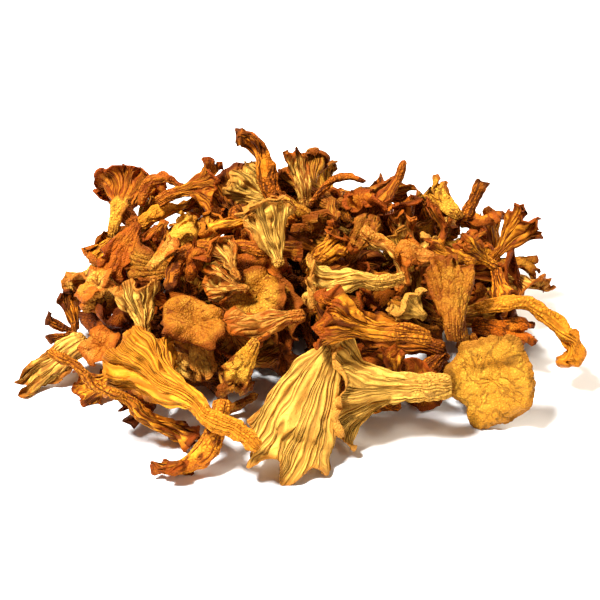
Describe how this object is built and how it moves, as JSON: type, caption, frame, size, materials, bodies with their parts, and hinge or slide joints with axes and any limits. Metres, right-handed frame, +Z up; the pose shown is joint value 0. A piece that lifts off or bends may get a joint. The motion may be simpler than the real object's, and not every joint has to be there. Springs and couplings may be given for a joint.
{
  "type": "heap of dried chanterelle mushrooms",
  "caption": "Loose heap of dried chanterelles: curled trumpets, split fans, caps and broken stems, lying on a flat surface.",
  "frame": {"origin": "on the surface that the heap lies on, under the middle of its bounding box", "axes": "+Z up, +X to the right along the heap's longest side, front at -Y"},
  "size_m": [0.227, 0.1944, 0.0844],
  "materials": {
    "dried_cream": "pale cream yellow, dry, ridged",
    "dried_golden": "golden orange, dry, wrinkled",
    "dried_tan": "orange tan, dry, rough",
    "dried_amber": "dark amber brown, dry, curled"
  },
  "bodies": {
    "root": {"flat_left": "dried_golden", "leaf_left": "dried_cream", "arm_right": "dried_golden", "tube_long": "dried_golden", "hook_front": "dried_golden", "funnel_left": "dried_golden", "fan_and_funnel_front": "dried_cream", "cap_right": "dried_tan", "heart_clump_1": "dried_amber", "heart_clump_2": "dried_amber", "heart_clump_3": "dried_amber", "heart_clump_4": "dried_amber", "inner_clump_1": "dried_amber", "inner_clump_2": "dried_tan", "inner_clump_3": "dried_amber", "inner_clump_4": "dried_tan", "rear_clump_1": "dried_golden", "rear_clump_2": "dried_cream", "rear_clump_3": "dried_tan", "rear_clump_4": "dried_amber", "rear_clump_5": "dried_golden", "rear_clump_6": "dried_cream", "ridge_clump_1": "dried_golden", "ridge_clump_2": "dried_amber", "ridge_clump_3": "dried_tan", "ridge_clump_4": "dried_golden", "caps_left": "dried_cream", "dark_left": "dried_amber", "cup_left": "dried_tan", "sticks_middle": "dried_golden", "band_cream": "dried_cream", "cap_tall": "dried_tan", "twist_cream": "dried_cream", "cap_brown": "dried_tan", "crumpled_and_leaf": "dried_cream", "caps_orange": "dried_tan", "funnel_middle": "dried_golden", "strip_pale": "dried_cream", "leaf_orange": "dried_amber", "ridge_and_stub": "dried_amber", "cap_low": "dried_tan", "funnel_tan": "dried_tan", "strip_curled": "dried_amber", "cup_upper": "dried_golden", "tan_plates": "dried_tan", "tube_golden": "dried_golden", "fan_triangle": "dried_cream", "leaf_and_ring": "dried_cream", "fans_brown": "dried_golden", "leaf_yellow": "dried_golden", "flake_and_shell": "dried_tan", "stick_arch": "dried_golden", "horn_upper_left": "dried_golden", "fan_top": "dried_cream", "stem_top": "dried_amber", "fan_and_twig_top": "dried_cream", "horn_right": "dried_golden", "flakes_right": "dried_tan", "fans_right_end": "dried_golden"}
  },
  "joints": []
}
